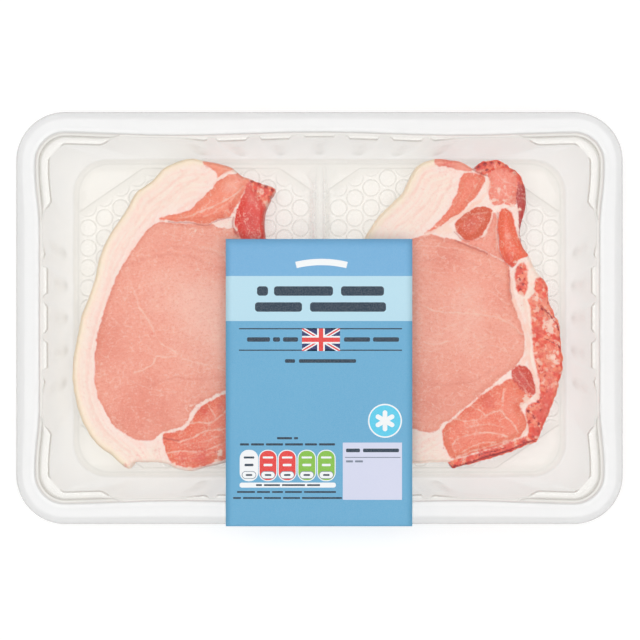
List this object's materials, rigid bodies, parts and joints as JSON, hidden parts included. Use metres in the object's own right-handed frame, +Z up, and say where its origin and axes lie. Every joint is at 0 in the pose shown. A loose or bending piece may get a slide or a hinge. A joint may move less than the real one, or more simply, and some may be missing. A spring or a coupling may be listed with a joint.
{
  "type": "meat tray pack",
  "caption": "Sealed clear plastic tray of thick raw pork chops, with a clear lid film and a blue wrap label.",
  "frame": {"origin": "centre of the bounding box at the height of the surface it stands on", "axes": "+X along the tray's long side, +Y towards the rear edge without the label, +Z up through the lid film"},
  "size_m": [0.265, 0.181, 0.0432],
  "materials": {
    "clear_tray": "clear, glossy, slightly grey",
    "clear_film": "clear, glossy, taut",
    "label_paper": "semi-gloss coated paper, printed in blue fields",
    "pork_fat": "moist cream-white fat",
    "pork_lean": "moist pink lean meat",
    "pork_dark_lean": "moist red lean meat",
    "pork_bone": "cut bone, red and cream, speckled"
  },
  "bodies": {
    "root": {"tray": "clear_tray", "lid_film": "clear_film", "label": "label_paper", "chop_left_fat": "pork_fat", "chop_left_loin": "pork_lean", "chop_left_cap": "pork_lean", "chop_left_side": "pork_dark_lean", "chop_left_tail": "pork_dark_lean", "chop_left_tip": "pork_bone", "chop_left_rib": "pork_bone", "chop_right_fat": "pork_fat", "chop_right_loin": "pork_lean", "chop_right_cap": "pork_lean", "chop_right_oval": "pork_lean", "chop_right_strip": "pork_dark_lean", "chop_right_tail": "pork_dark_lean", "chop_right_tip": "pork_bone", "chop_right_knuckle": "pork_bone", "chop_right_rib": "pork_bone"}
  },
  "joints": []
}
